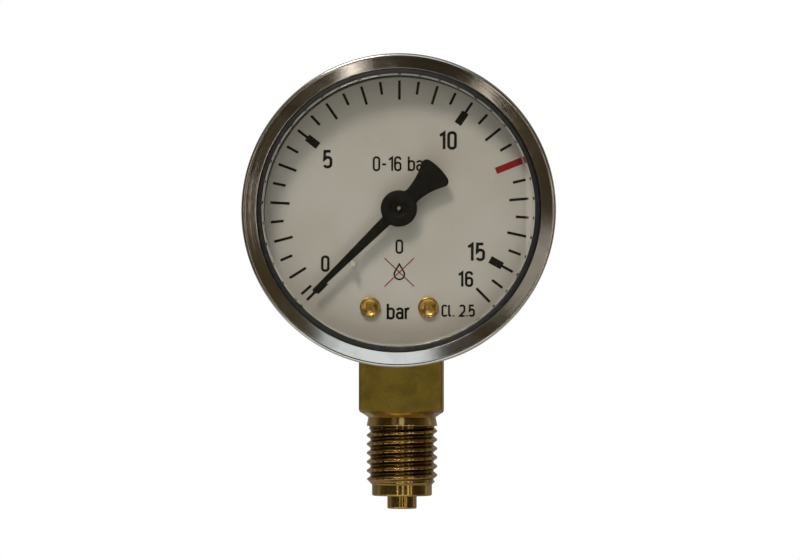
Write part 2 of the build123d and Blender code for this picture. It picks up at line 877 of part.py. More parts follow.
# ---------------------------------------------------------------- export
pieces = {
    "case": case,
    "blowout_plug": blowout_plug,
    "window": window,
    "window_seal": window_seal,
    "dial": dial,
    "dial_screws": dial_screws,
    "dial_posts": dial_posts,
    "stop_pin": stop_pin,
    "pointer": pointer,
    "pointer_bushing": pointer_bushing,
    "pinion_arbor": pinion_arbor,
    "hairspring_collet": hairspring_collet,
    "hairspring": hairspring,
    "hairspring_stud": hairspring_stud,
    "sector_gear": sector_gear,
    "sector_arbor": sector_arbor,
    "back_plate": back_plate,
    "front_plate": front_plate,
    "pillars": pillars,
    "pillar_screws": pillar_screws,
    "movement_screws": movement_screws,
    "case_screws": case_screws,
    "bourdon_tube": bourdon_tube,
    "tube_tip": tube_tip,
    "link": link,
    "link_pin_upper": link_pin_upper,
    "link_pin_lower": link_pin_lower,
    "restrictor": restrictor,
    "stem": stem,
}
os.makedirs("parts", exist_ok=True)
for name, piece in pieces.items():
    piece.part.label = name
    export_step(piece.part, f"parts/{name}.step")
    print(name, round(piece.part.volume, 3), len(piece.part.solids()))
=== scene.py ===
"""Looks of the pressure gauge: meshes, materials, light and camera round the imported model."""

import json
from math import acos, asin, atan2, ceil, cos, degrees, floor, hypot, radians, sin, tan

import bmesh
import bpy
from mathutils import Matrix, Vector


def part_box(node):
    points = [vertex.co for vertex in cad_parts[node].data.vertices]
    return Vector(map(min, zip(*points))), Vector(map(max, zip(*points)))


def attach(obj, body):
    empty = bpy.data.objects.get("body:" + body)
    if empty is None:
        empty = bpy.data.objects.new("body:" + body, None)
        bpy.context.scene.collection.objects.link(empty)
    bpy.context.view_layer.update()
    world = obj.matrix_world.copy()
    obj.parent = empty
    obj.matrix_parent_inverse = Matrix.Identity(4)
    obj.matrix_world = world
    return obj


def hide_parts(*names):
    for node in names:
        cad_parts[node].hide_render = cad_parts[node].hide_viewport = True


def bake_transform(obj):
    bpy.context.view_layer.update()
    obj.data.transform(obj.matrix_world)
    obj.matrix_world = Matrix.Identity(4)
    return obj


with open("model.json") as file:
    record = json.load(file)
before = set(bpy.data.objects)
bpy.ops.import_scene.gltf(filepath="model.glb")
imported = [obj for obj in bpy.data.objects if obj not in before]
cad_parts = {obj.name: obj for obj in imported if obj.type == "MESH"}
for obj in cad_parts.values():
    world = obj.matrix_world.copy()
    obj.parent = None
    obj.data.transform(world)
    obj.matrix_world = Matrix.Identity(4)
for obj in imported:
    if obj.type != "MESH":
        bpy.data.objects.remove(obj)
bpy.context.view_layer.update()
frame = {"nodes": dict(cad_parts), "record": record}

# Lengths are millimetres until a mesh is written. A "level" is a distance forward of the
# stem axis, towards the reader of the dial, so level 10 is the plane y = -10 mm.
MM = 0.001


def middle(node):
    """(x, z) of the middle of a CAD node, in millimetres."""
    low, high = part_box(node)
    return ((low.x + high.x) / 2 / MM, (low.z + high.z) / 2 / MM)


def front_of(node):
    return -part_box(node)[0].y / MM


def back_of(node):
    return -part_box(node)[1].y / MM


CASE_CENTRE = middle("window")
DIAL_CENTRE = middle("dial")
PIN_CENTRE = middle("stop_pin")
PLUG_CENTRE = middle("blowout_plug")
DIAL_FRONT = front_of("dial")
CASE_BACK = back_of("case")
POINTER_ANGLE = 224.4  # degrees from +X towards +Z, with the needle on its stop

# ------------------------------------------------------------------ outlines


def polar(centre, distance, angle):
    return (
        centre[0] + distance * cos(radians(angle)),
        centre[1] + distance * sin(radians(angle)),
    )


def arc(centre, radius, start, end, steps):
    """Points of an arc, both ends included. radius is a number or (across, up)."""
    across, up = radius if isinstance(radius, tuple) else (radius, radius)
    turns = [radians(start + (end - start) * k / steps) for k in range(steps + 1)]
    return [(centre[0] + across * cos(t), centre[1] + up * sin(t)) for t in turns]


def tangent_arc(start, direction, end, steps):
    """Points of the arc that leaves start along direction and ends at end, start left out."""
    start, end = Vector(start), Vector(end)
    direction = Vector(direction).normalized()
    normal = Vector((-direction.y, direction.x))
    chord = end - start
    radius = chord.length_squared / (2 * chord.dot(normal))
    centre = start + normal * radius
    first = atan2(start.y - centre.y, start.x - centre.x)
    turn = 2 * atan2(chord.dot(normal), chord.dot(direction))
    turns = [first + turn * k / steps for k in range(1, steps + 1)]
    return [(centre.x + abs(radius) * cos(t), centre.y + abs(radius) * sin(t)) for t in turns]


def rounded(corners, steps=5):
    """A closed outline from (u, v) or (u, v, radius) corners, each radius made into an arc."""
    points = []
    for k, corner in enumerate(corners):
        here = Vector(corner[:2])
        if len(corner) == 2:
            points.append(tuple(here))
            continue
        before = (Vector(corners[k - 1][:2]) - here).normalized()
        after = (Vector(corners[(k + 1) % len(corners)][:2]) - here).normalized()
        half = acos(max(-1.0, min(1.0, before.dot(after)))) / 2
        centre = here + (before + after).normalized() * corner[2] / sin(half)
        first = here + before * corner[2] / tan(half) - centre
        last = here + after * corner[2] / tan(half) - centre
        swing = first.angle_signed(last)
        for step in range(steps + 1):
            turned = Matrix.Rotation(-swing * step / steps, 2) @ first
            points.append(tuple(centre + turned))
    return points


# ------------------------------------------------------------------ meshes


def at(x, level, z):
    return Vector((x, -level, z)) * MM


def finish_piece(name, mesh, body, slot, material, nodes=(), sharp=35.0):
    """Turns a bmesh into a piece: smooth shading, its material, its body; the CAD nodes it stands
    for are hidden.

    A piece with no body is left unattached."""
    bmesh.ops.recalc_face_normals(mesh, faces=mesh.faces)
    data = bpy.data.meshes.new(name)
    mesh.to_mesh(data)
    mesh.free()
    data.polygons.foreach_set("use_smooth", [True] * len(data.polygons))
    data.set_sharp_from_angle(angle=radians(sharp))
    data.materials.append(material)
    piece = bpy.data.objects.new(name, data)
    bpy.context.scene.collection.objects.link(piece)
    if body:
        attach(piece, body)
    if nodes:
        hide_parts(*nodes)
    return piece


def even_shading(piece):
    """Large faces keep their own normals, so that rounded edges beside them look crisp."""
    normals = piece.modifiers.new("normals", "WEIGHTED_NORMAL")
    normals.keep_sharp = True
    normals.weight = 50


def add_loop(mesh, points, level):
    return [mesh.verts.new(at(x, level, z)) for x, z in points]


def crisp_piece(*details):
    even_shading(finish_piece(*details))


def add_turned(mesh, profile, centre, segments=256):
    """Adds a solid turned about an axis along Y. profile is closed, of (radius, level) points."""
    rings = []
    for radius, level in profile:
        if radius < 1e-6:
            rings.append(add_loop(mesh, [centre], level))
            continue
        around = [polar(centre, radius, 360 * k / segments) for k in range(segments)]
        rings.append(add_loop(mesh, around, level))
    join_rings(mesh, rings, closed=True)


def join_rings(mesh, rings, closed):
    pairs = list(zip(rings, rings[1:]))
    if closed:
        pairs.append((rings[-1], rings[0]))
    for one, other in pairs:
        count = max(len(one), len(other))
        if count == 1:
            continue
        for k in range(count):
            corners = [
                one[k % len(one)],
                one[(k + 1) % len(one)],
                other[(k + 1) % len(other)],
                other[k % len(other)],
            ]
            mesh.faces.new(list(dict.fromkeys(corners)))


def add_plate(mesh, outline, back, front):
    """Adds a flat solid between two levels, with a closed outline of (x, z) points."""
    low, high = add_loop(mesh, outline, back), add_loop(mesh, outline, front)
    mesh.faces.new(low)
    mesh.faces.new(high)
    join_rings(mesh, [low, high], closed=False)


def cut(piece, cutter):
    """Takes the cutter bmesh out of a piece, for good."""
    bmesh.ops.recalc_face_normals(cutter, faces=cutter.faces)
    data = bpy.data.meshes.new("cutter")
    cutter.to_mesh(data)
    cutter.free()
    tool = bpy.data.objects.new("cutter", data)
    bpy.context.scene.collection.objects.link(tool)
    boolean = piece.modifiers.new("cut", "BOOLEAN")
    boolean.operation = "DIFFERENCE"
    boolean.solver = "EXACT"
    boolean.object = tool
    evaluated = piece.evaluated_get(bpy.context.evaluated_depsgraph_get())
    result = bpy.data.meshes.new_from_object(evaluated)
    piece.modifiers.remove(boolean)
    piece.data = result
    bpy.data.objects.remove(tool)
    result.polygons.foreach_set("use_smooth", [True] * len(result.polygons))
    result.set_sharp_from_angle(angle=radians(35))


# ------------------------------------------------------------------ materials


class Nodes:
    """The node tree of a material or a world, emptied, with short calls to fill it."""

    def __init__(self, owner):
        owner.use_nodes = True
        self.tree = owner.node_tree
        self.tree.nodes.clear()

    def node(self, kind, **settings):
        made = self.tree.nodes.new(kind)
        for key, value in settings.items():
            setattr(made, key, value)
        return made

    def link(self, source, target):
        self.tree.links.new(source, target)

    def feed(self, value, socket):
        """Links a node's output, or writes a plain value."""
        if isinstance(value, bpy.types.NodeSocket):
            self.link(value, socket)
        else:
            socket.default_value = value

    def rescale(self, value, low, high, to_low=0.0, to_high=1.0, kind="SMOOTHSTEP"):
        """Maps low..high to to_low..to_high, held at the ends."""
        made = self.node("ShaderNodeMapRange", interpolation_type=kind)
        self.link(value, made.inputs["Value"])
        made.inputs["From Min"].default_value = low
        made.inputs["From Max"].default_value = high
        made.inputs["To Min"].default_value = to_low
        made.inputs["To Max"].default_value = to_high
        return made.outputs["Result"]

    def blend(self, share, one, other):
        """Colour one where share is 0 and other where it is 1."""
        made = self.node("ShaderNodeMix", data_type="RGBA")
        self.feed(share, made.inputs[0])
        for socket, value in ((made.inputs[6], one), (made.inputs[7], other)):
            self.feed((*value, 1) if isinstance(value, tuple) else value, socket)
        return made.outputs[2]

    def noise(self, scale, detail=3.0, source=None, distortion=0.0):
        made = self.node("ShaderNodeTexNoise")
        self.link(source or self.place, made.inputs["Vector"])
        made.inputs["Scale"].default_value = scale
        made.inputs["Detail"].default_value = detail
        made.inputs["Distortion"].default_value = distortion
        return made.outputs["Fac"]

    def part_of(self, source, index):
        split = self.node("ShaderNodeSeparateXYZ")
        self.link(source, split.inputs[0])
        return split.outputs[index]


class Finish(Nodes):
    """One material. Positions are in millimetres in the row frame, so that scales are counts
    per millimetre."""

    def __init__(self, name):
        self.material = bpy.data.materials.new(name)
        super().__init__(self.material)
        self.surface = self.node("ShaderNodeBsdfPrincipled")
        self.output = self.node("ShaderNodeOutputMaterial")
        self.link(self.surface.outputs["BSDF"], self.output.inputs["Surface"])
        place = self.node("ShaderNodeTexCoord")
        scaled = self.node("ShaderNodeVectorMath", operation="SCALE")
        scaled.inputs["Scale"].default_value = 1 / MM
        self.link(place.outputs["Object"], scaled.inputs[0])
        self.place = scaled.outputs["Vector"]
        self.height = None

    def set(self, **values):
        for key, value in values.items():
            self.feed(value, self.surface.inputs[key.replace("_", " ")])

    def about(self, centre):
        """The position measured from a point (x, z) of the dial's plane."""
        moved = self.node("ShaderNodeVectorMath", operation="SUBTRACT")
        self.link(self.place, moved.inputs[0])
        moved.inputs[1].default_value = (centre[0], 0, centre[1])
        return moved.outputs["Vector"]

    def stretched(self, scale, source=None):
        scaled = self.node("ShaderNodeVectorMath", operation="MULTIPLY")
        self.link(source or self.place, scaled.inputs[0])
        scaled.inputs[1].default_value = scale
        return scaled.outputs["Vector"]

    def radius_of(self, source, flat=(1, 0, 1)):
        """The distance from an axis: flat says which directions count."""
        length = self.node("ShaderNodeVectorMath", operation="LENGTH")
        self.link(self.stretched(flat, source), length.inputs[0])
        return length.outputs["Value"]

    def maths(self, operation, one, other):
        made = self.node("ShaderNodeMath", operation=operation)
        self.feed(one, made.inputs[0])
        self.feed(other, made.inputs[1])
        return made.outputs["Value"]

    def bump(self, height, depth):
        """Adds a relief of that depth in millimetres."""
        made = self.node("ShaderNodeBump")
        made.inputs["Distance"].default_value = depth * MM
        self.link(height, made.inputs["Height"])
        if self.height:
            self.link(self.height, made.inputs["Normal"])
        self.height = made.outputs["Normal"]
        self.link(self.height, self.surface.inputs["Normal"])
        return self


def chrome_finish():
    """Bright plate on drawn steel: faint drawing lines, smears and fine scratches."""
    f = Finish("chrome_case")
    from_axis = f.about(CASE_CENTRE)
    rings = f.node("ShaderNodeCombineXYZ")
    f.link(f.radius_of(from_axis), rings.inputs[0])
    f.link(f.part_of(from_axis, 1), rings.inputs[1])
    lines = f.noise(6.0, 3, rings.outputs[0])
    smears = f.noise(0.22, 4, distortion=0.8)
    scratches = f.noise(2.2, 2, f.stretched((1.0, 9.0, 0.4)), distortion=1.5)
    f.set(
        Base_Color=f.blend(f.rescale(smears, 0.35, 0.7), (0.64, 0.625, 0.60), (0.59, 0.575, 0.55)),
        Metallic=1.0,
        Roughness=f.maths(
            "ADD", f.rescale(smears, 0.4, 0.75, 0.09, 0.14), f.rescale(lines, 0.45, 0.7, 0.0, 0.07)
        ),
    )
    f.bump(lines, 0.004).bump(scratches, 0.002)
    return f.material


def clear_finish():
    """Clear moulded plastic, with hairline wiping marks. Lamps shine through it."""
    f = Finish("clear_window")
    marks = f.noise(1.6, 2, f.stretched((1.0, 1.0, 0.16)), distortion=0.7)
    f.set(
        Base_Color=(0.97, 0.975, 0.965, 1),
        Roughness=f.rescale(marks, 0.5, 0.75, 0.0, 0.05),
        IOR=1.49,
    )
    f.surface.inputs["Transmission Weight"].default_value = 1.0
    open_way = f.node("ShaderNodeBsdfTransparent")
    rays = f.node("ShaderNodeLightPath")
    mixed = f.node("ShaderNodeMixShader")
    f.link(f.maths("MAXIMUM", rays.outputs["Is Shadow Ray"], rays.outputs["Is Diffuse Ray"]),
           mixed.inputs[0])
    f.link(f.surface.outputs["BSDF"], mixed.inputs[1])
    f.link(open_way.outputs["BSDF"], mixed.inputs[2])
    f.link(mixed.outputs["Shader"], f.output.inputs["Surface"])
    return f.material


def rubber_finish():
    """Matt black rubber with a moulded grain and dust in its hollows."""
    f = Finish("black_rubber")
    grain = f.noise(14.0, 4)
    dust = f.noise(0.9, 5, distortion=0.4)
    f.set(
        Base_Color=f.blend(f.rescale(dust, 0.5, 0.8), (0.012, 0.012, 0.013), (0.04, 0.038, 0.035)),
        Roughness=f.rescale(grain, 0.3, 0.7, 0.42, 0.62),
    )
    f.bump(grain, 0.02)
    return f.material


def dial_finish():
    """Sprayed and baked white paint, yellowed a little, with a fine peel and a few specks, and
    painted shade that darkens it towards its edge under the bezel.
    """
    f = Finish("dial_white")
    mottle = f.noise(0.12, 4)
    peel = f.noise(5.0, 3)
    specks = f.rescale(f.noise(2.6, 1), 0.79, 0.81)
    # painted shade, with a little yellowing: the paint turns darker and browner towards the dial's
    # edge, where the bezel shades it
    edge = f.rescale(f.radius_of(f.about(DIAL_CENTRE)), 16.0, 23.5)
    paint = f.blend(f.rescale(mottle, 0.3, 0.7), (0.78, 0.765, 0.725), (0.73, 0.705, 0.65))
    paint = f.blend(f.maths("MULTIPLY", edge, 0.2), paint, (0.66, 0.60, 0.52))
    f.set(
        Base_Color=f.blend(specks, paint, (0.25, 0.22, 0.18)),
        Roughness=f.rescale(peel, 0.3, 0.7, 0.42, 0.55),
    )
    f.bump(peel, 0.006)
    return f.material


def ink_finish(name, colour, worn):
    """Pad-printed ink: thinner in places, so that some of the paint's colour comes through."""
    f = Finish(name)
    cover = f.noise(3.5, 4)
    f.set(
        Base_Color=f.blend(f.rescale(cover, 0.5, 0.8), colour, worn),
        Roughness=f.rescale(cover, 0.3, 0.7, 0.38, 0.55),
        Specular_IOR_Level=0.2,
    )
    f.bump(cover, 0.004)
    return f.material


def plastic_finish():
    """Moulded off-white plastic, a little see-through to light."""
    f = Finish("white_plastic")
    flow = f.noise(1.2, 3, distortion=0.6)
    f.set(
        Base_Color=f.blend(f.rescale(flow, 0.3, 0.7), (0.80, 0.78, 0.70), (0.70, 0.67, 0.58)),
        Roughness=f.rescale(flow, 0.3, 0.7, 0.35, 0.5),
    )
    f.surface.inputs["Subsurface Weight"].default_value = 0.25
    f.surface.inputs["Subsurface Radius"].default_value = (0.0006, 0.0005, 0.0004)
    f.bump(f.noise(8.0, 2), 0.008)
    return f.material


def satin_black_finish():
    """Satin black enamel on stamped sheet, with a soft grain and rubbed high spots."""
    f = Finish("pointer_black")
    grain = f.noise(7.0, 4)
    rubbed = f.noise(0.7, 4, distortion=0.5)
    f.set(
        Base_Color=f.blend(
            f.rescale(rubbed, 0.5, 0.8), (0.003, 0.0035, 0.0035), (0.009, 0.0095, 0.009)
        ),
        Roughness=f.rescale(grain, 0.3, 0.7, 0.38, 0.52),
        Specular_IOR_Level=0.18,
    )
    f.bump(grain, 0.01)
    return f.material


def metal_finish(name, bright, dull, rough, scale=1.0, lines=(1.0, 1.0, 1.0), depth=0.004):
    """A plain metal: patches of tarnish, and tool marks stretched as lines says."""
    f = Finish(name)
    tarnish = f.noise(0.35 * scale, 5, distortion=0.6)
    marks = f.noise(6.0 * scale, 3, f.stretched(lines))
    f.set(
        Base_Color=f.blend(f.rescale(tarnish, 0.35, 0.7), bright, dull),
        Metallic=1.0,
        Roughness=f.maths(
            "ADD",
            f.rescale(tarnish, 0.35, 0.7, rough, rough + 0.12),
            f.rescale(marks, 0.4, 0.7, 0.0, 0.08),
        ),
    )
    f.bump(marks, depth)
    return f.material


def stem_finish():
    """Dulled brass: the drawn square is olive and spotted, the turned shank darker and shinier;
    painted shade darkens the thread's grooves.
    """
    f = Finish("stem_brass")
    height = f.part_of(f.place, 2)
    square = f.rescale(height, 0.6, 0.8)
    cloud = f.noise(0.30, 5, distortion=0.7)
    fine = f.noise(2.4, 4)
    drawn = f.noise(5.0, 3, f.stretched((1.0, 1.0, 0.05)))
    turned = f.noise(11.0, 2, f.stretched((0.04, 0.04, 1.0)))
    spots = f.rescale(f.noise(1.1, 2, distortion=0.3), 0.70, 0.76)
    bar = f.blend(f.rescale(cloud, 0.35, 0.68), (0.36, 0.255, 0.045), (0.25, 0.18, 0.035))
    bar = f.blend(f.rescale(fine, 0.45, 0.8, 0.0, 0.5), bar, (0.20, 0.135, 0.03))
    shank = f.blend(f.rescale(cloud, 0.35, 0.68), (0.53, 0.37, 0.12), (0.34, 0.21, 0.07))
    colour = f.blend(square, shank, bar)
    # painted shade: wherever the surface lies within 5.93 mm of the axis above the thread's end
    # (the thread's roots, the relief groove, the neck), the brass is darkened towards near-black
    # brown
    groove = f.maths(
        "MULTIPLY",
        f.rescale(f.radius_of(f.place, (1, 1, 0)), 5.5, 5.93, 0.88, 0.0),
        f.rescale(height, -10.9, -10.5),
    )
    colour = f.blend(groove, colour, (0.10, 0.056, 0.022))
    f.set(
        Base_Color=f.blend(f.maths("MULTIPLY", spots, 0.8), colour, (0.05, 0.035, 0.02)),
        Metallic=1.0,
        Roughness=f.maths(
            "ADD",
            f.rescale(square, 0.0, 1.0, 0.13, 0.36),
            f.maths(
                "MULTIPLY",
                f.rescale(fine, 0.35, 0.75, 0.0, 0.14),
                f.rescale(square, 0.0, 1.0, 0.4, 1.0),
            ),
        ),
    )
    f.bump(f.maths("MULTIPLY", drawn, square), 0.012)
    f.bump(f.maths("MULTIPLY", turned, f.rescale(square, 0.0, 1.0, 1.0, 0.0)), 0.0006)
    f.bump(f.maths("MULTIPLY", fine, square), 0.006)
    return f.material


CHROME = chrome_finish()
CLEAR = clear_finish()
RUBBER = rubber_finish()
DIAL_PAINT = dial_finish()
BLACK_INK = ink_finish("dial_ink_black", (0.006, 0.005, 0.004), (0.020, 0.016, 0.013))
RED_INK = ink_finish("dial_ink_red", (0.36, 0.018, 0.020), (0.42, 0.05, 0.045))
WHITE_PLASTIC = plastic_finish()
SATIN_BLACK = satin_black_finish()
BRIGHT_BRASS = metal_finish("bright_brass", (0.70, 0.46, 0.13), (0.42, 0.25, 0.07), 0.16, 2.0)
STEM_BRASS = stem_finish()
CAD_MATERIALS = {
    "dial_white": DIAL_PAINT,
    "black_rubber": RUBBER,
    "bright_brass": BRIGHT_BRASS,
    "movement_brass": metal_finish(
        "movement_brass", (0.78, 0.56, 0.22), (0.60, 0.40, 0.14), 0.26, 1.0, (0.15, 1.0, 1.0)
    ),
    "tube_bronze": metal_finish("tube_bronze", (0.66, 0.42, 0.20), (0.46, 0.26, 0.12), 0.30),
    "spring_bronze": metal_finish(
        "spring_bronze", (0.64, 0.43, 0.20), (0.52, 0.32, 0.14), 0.22, 3.0
    ),
    "movement_steel": metal_finish(
        "movement_steel", (0.55, 0.54, 0.52), (0.42, 0.41, 0.39), 0.24, 2.0, (1.0, 0.1, 1.0)
    ),
    "screw_steel": metal_finish("screw_steel", (0.60, 0.60, 0.58), (0.42, 0.40, 0.36), 0.28, 1.5),
    "white_plastic": WHITE_PLASTIC,
    "pointer_black": SATIN_BLACK,
    "chrome_case": CHROME,
    "clear_window": CLEAR,
    "stem_brass": STEM_BRASS,
}
for part in frame["record"]["subparts"]:
    node = frame["nodes"][part["node"]]
    for material_slot in node.material_slots:
        material_slot.material = CAD_MATERIALS[part["material_slot"]]

# ------------------------------------------------------------------ case

CASE_RADIUS = 25.45
CASE_WALL = 0.6
CASE_CORNER = 2.5
BEAD_CENTRE = (25.2, 15.9)
BEAD_RADIUS = 0.75
BEAD_LIP = (25.5, 16.2, 0.45)  # the tight round at the front: radius, level and its own radius
FLANK_TILT = 14  # degrees that the broad flank inside it leans in
FLANK_INNER = 23.6
FLANK_SHARES = (0.04, 0.5, 0.96)  # rings along the flank that keep its shading flat
NOSE_RADIUS = 0.25
UNDERSIDE = ((24.4, 0.44), (24.6, 0.8))  # radius, and how far behind the nose
WALL_TOP = 14.95
STRAIGHT_END = BEAD_CENTRE[1] - 4
OPENING_HALF, OPENING_CORNER = 7.15, 0.6
PLUG_OPENING, SCREW_OPENING = 4.02, 1.4
SCREW_SPACING = 9.0
SCREW_HEIGHT = 16.15
SCREW_HEAD, SCREW_SHANK, SCREW_LENGTH = 2.1, 1.23, 5
RECESS_REACH, RECESS_HALF = 1.15, 0.22
PLUG_FLANGE, PLUG_NECK, PLUG_HOLLOW = 5.2, 3.98, 2.8
screw_centres = [(side * SCREW_SPACING / 2, SCREW_HEIGHT) for side in (-1, 1)]


def case_shell():
    """The drawn cup with its rolled bead, opened for the stem, the plug and the two screws."""
    outer_start = degrees(acos((CASE_RADIUS - BEAD_CENTRE[0]) / BEAD_RADIUS))
    inner_radius = CASE_RADIUS - CASE_WALL
    inner_back = CASE_BACK + CASE_WALL
    corner_level = CASE_BACK + CASE_CORNER
    profile = [(0, CASE_BACK)]
    profile += arc((CASE_RADIUS - CASE_CORNER, corner_level), CASE_CORNER, -90, 0, 12)
    profile += [(CASE_RADIUS, STRAIGHT_END)]
    profile += arc(BEAD_CENTRE, BEAD_RADIUS, -outer_start, 0, 10)
    profile += arc(BEAD_LIP[:2], BEAD_LIP[2], 0, 90 + FLANK_TILT, 20)
    drop = (profile[-1][0] - FLANK_INNER) * tan(radians(FLANK_TILT))
    flank = Vector(profile[-1]), Vector((FLANK_INNER, profile[-1][1] - drop))
    profile += [tuple(flank[0].lerp(flank[1], share)) for share in FLANK_SHARES]
    nose = (FLANK_INNER + 0.02, flank[1].y - NOSE_RADIUS)
    profile += arc(nose, NOSE_RADIUS, 100, 250, 10)
    profile += [(radius, nose[1] - behind) for radius, behind in UNDERSIDE]
    profile += [(inner_radius, WALL_TOP), (inner_radius, STRAIGHT_END)]
    profile += arc(
        (inner_radius - CASE_CORNER + CASE_WALL, corner_level), CASE_CORNER - CASE_WALL, 0, -90, 8
    )
    profile += [(0, inner_back)]
    mesh = bmesh.new()
    add_turned(mesh, profile, CASE_CENTRE, 360)
    shell = finish_piece("case_shell", mesh, "root", "chrome_case", CHROME, ["case"])
    openings = bmesh.new()
    low = CASE_CENTRE[1] - CASE_RADIUS - 4
    corners = [
        (side * OPENING_HALF, edge * OPENING_HALF, OPENING_CORNER)
        for side, edge in ((-1, -1), (1, -1), (1, 1), (-1, 1))
    ]
    base = [openings.verts.new(at(x, y, low)) for x, y in rounded(corners)]
    top = [openings.verts.new(v.co + Vector((0, 0, 8 * MM))) for v in base]
    openings.faces.new(base)
    openings.faces.new(top)
    join_rings(openings, [base, top], closed=False)
    holes = [(PLUG_CENTRE, PLUG_OPENING)] + [(c, SCREW_OPENING) for c in screw_centres]
    for centre, radius in holes:
        add_plate(openings, arc(centre, radius, 0, 354, 59), CASE_BACK - 1, CASE_BACK + 2)
    cut(shell, openings)
    even_shading(shell)


def relief_plug():
    """The blow-out plug: a rubber button with a raised rim and a dimple, in the back."""
    mesh = bmesh.new()
    outside = CASE_BACK - 0.9
    inside = CASE_BACK + CASE_WALL
    profile = rounded([
        (0, outside + 0.25),
        (2.4, outside + 0.25, 0.5),
        (3.0, outside, 0.4),
        (PLUG_FLANGE, outside, 0.45),
        (PLUG_FLANGE, CASE_BACK),
        (PLUG_NECK, CASE_BACK),
        (PLUG_NECK, inside),
        (4.5, inside, 0.15),
        (3.7, inside + 1.0, 0.15),
        (PLUG_HOLLOW, inside + 1.0),
        (PLUG_HOLLOW, CASE_BACK + 0.3),
        (0, CASE_BACK + 0.3),
    ])
    add_turned(mesh, profile, PLUG_CENTRE, 128)
    crisp_piece("relief_plug", mesh, "root", "black_rubber", RUBBER, ["blowout_plug"])


def back_screws():
    """Two pan-head screws through the case into the stem block, with cross recesses.

    The two slots of a cross are cut one after the other: cut at once, they lose the screws."""
    mesh = bmesh.new()
    seat, tip = CASE_BACK - 0.02, CASE_BACK + SCREW_LENGTH
    for centre in screw_centres:
        profile = [(0, CASE_BACK - 1.3)]
        profile += arc((0, CASE_BACK - 0.5), (SCREW_HEAD, 0.8), -80, 0, 12)
        profile += [(SCREW_HEAD, seat), (SCREW_SHANK, seat), (SCREW_SHANK, tip), (0, tip)]
        add_turned(mesh, profile, centre, 64)
    screws = finish_piece(
        "back_screws", mesh, "root", "screw_steel", CAD_MATERIALS["screw_steel"], ["case_screws"]
    )
    for turn in (35, 125):
        recess = bmesh.new()
        for centre in screw_centres:
            outline = []
            for way in (turn, turn + 180):
                end = polar(centre, RECESS_REACH, way)
                outline += arc(end, RECESS_HALF, way - 90, way + 90, 6)
            add_plate(recess, outline, CASE_BACK - 2, CASE_BACK - 0.6)
        cut(screws, recess)
    even_shading(screws)


case_shell()
relief_plug()
back_screws()

# ------------------------------------------------------------------ window and seal

SEAL_FRONT = 13.28
WINDOW_RADIUS = 24.35
WINDOW_SKIRT = 23.0
WINDOW_SHOULDER = (22.5, 16.9)
WINDOW_INNER = 16.0
WINDOW_FRONT = 17.6
CROWN_EDGE = (22.1, 17.4)
SKIRT_CORNER = 0.3
WINDOW_FLANGE = [(23.3, 15.5), (24.2, 15.2), (WINDOW_RADIUS, 15.1)]
WINDOW_BARB = [(24.75, 14.7), (24.75, 14.4), (WINDOW_RADIUS, 13.9)]
SEAL_INNER, SEAL_OUTER = 22.4, 24.3
PRESS_GAP = 0.02


def window_lens():
    """The snap-in window: a slightly crowned face, a round shoulder, a skirt with its barb."""
    rise = WINDOW_FRONT - CROWN_EDGE[1]
    crown_radius = (CROWN_EDGE[0] ** 2 + rise**2) / (2 * rise)
    edge_turn = degrees(asin(CROWN_EDGE[0] / crown_radius))
    crown_centre = (0, WINDOW_FRONT - crown_radius)
    crown = arc(crown_centre, crown_radius, 90, 90 - edge_turn, 12)
    crown[0] = (0, WINDOW_FRONT)
    slope = (cos(radians(edge_turn)), -sin(radians(edge_turn)))
    shoulder = tangent_arc(CROWN_EDGE, slope, WINDOW_SHOULDER, 16)
    skirt_top = (WINDOW_SKIRT, WINDOW_INNER - SKIRT_CORNER)
    corner = tangent_arc(skirt_top, (0, 1), (WINDOW_SKIRT - SKIRT_CORNER, WINDOW_INNER), 6)
    foot = SEAL_FRONT + PRESS_GAP
    profile = crown + shoulder + [(WINDOW_SHOULDER[0], 15.62)] + WINDOW_FLANGE + WINDOW_BARB
    profile += [(WINDOW_RADIUS, foot), (WINDOW_SKIRT, foot), skirt_top] + corner
    profile += [(WINDOW_SKIRT - 4, WINDOW_INNER), (0, WINDOW_INNER)]
    mesh = bmesh.new()
    add_turned(mesh, profile, CASE_CENTRE, 360)
    crisp_piece("window_lens", mesh, "root", "clear_window", CLEAR, ["window"], 40)


def seal_ring():
    """The black seal: a flat ring under the window's skirt and a bead between window and case."""
    back, front = DIAL_FRONT + PRESS_GAP, SEAL_FRONT
    corners = [(SEAL_INNER, back, 0.15), (SEAL_OUTER, back, 0.15)]
    corners += [(SEAL_OUTER, front, 0.3), (SEAL_INNER, front, 0.4)]
    inner, outer = WINDOW_SHOULDER[0] + 0.03, FLANK_INNER - 0.26
    bead = [(inner, 15.66), (outer, 15.56), (outer, 16.15, 0.2), (inner, 16.3, 0.2)]
    mesh = bmesh.new()
    add_turned(mesh, rounded(corners), CASE_CENTRE, 360)
    add_turned(mesh, rounded(bead), CASE_CENTRE, 360)
    crisp_piece("seal_ring", mesh, "root", "black_rubber", RUBBER, ["window_seal"])


window_lens()
seal_ring()

# ------------------------------------------------------------------ Bourdon tube

TUBE_BEND = 15.5
TUBE_WIDTH, TUBE_THICKNESS, TUBE_WALL = 8.0, 2.2, 0.35
TUBE_START, TUBE_END = 268.0, -8.0
TUBE_STEPS = 184


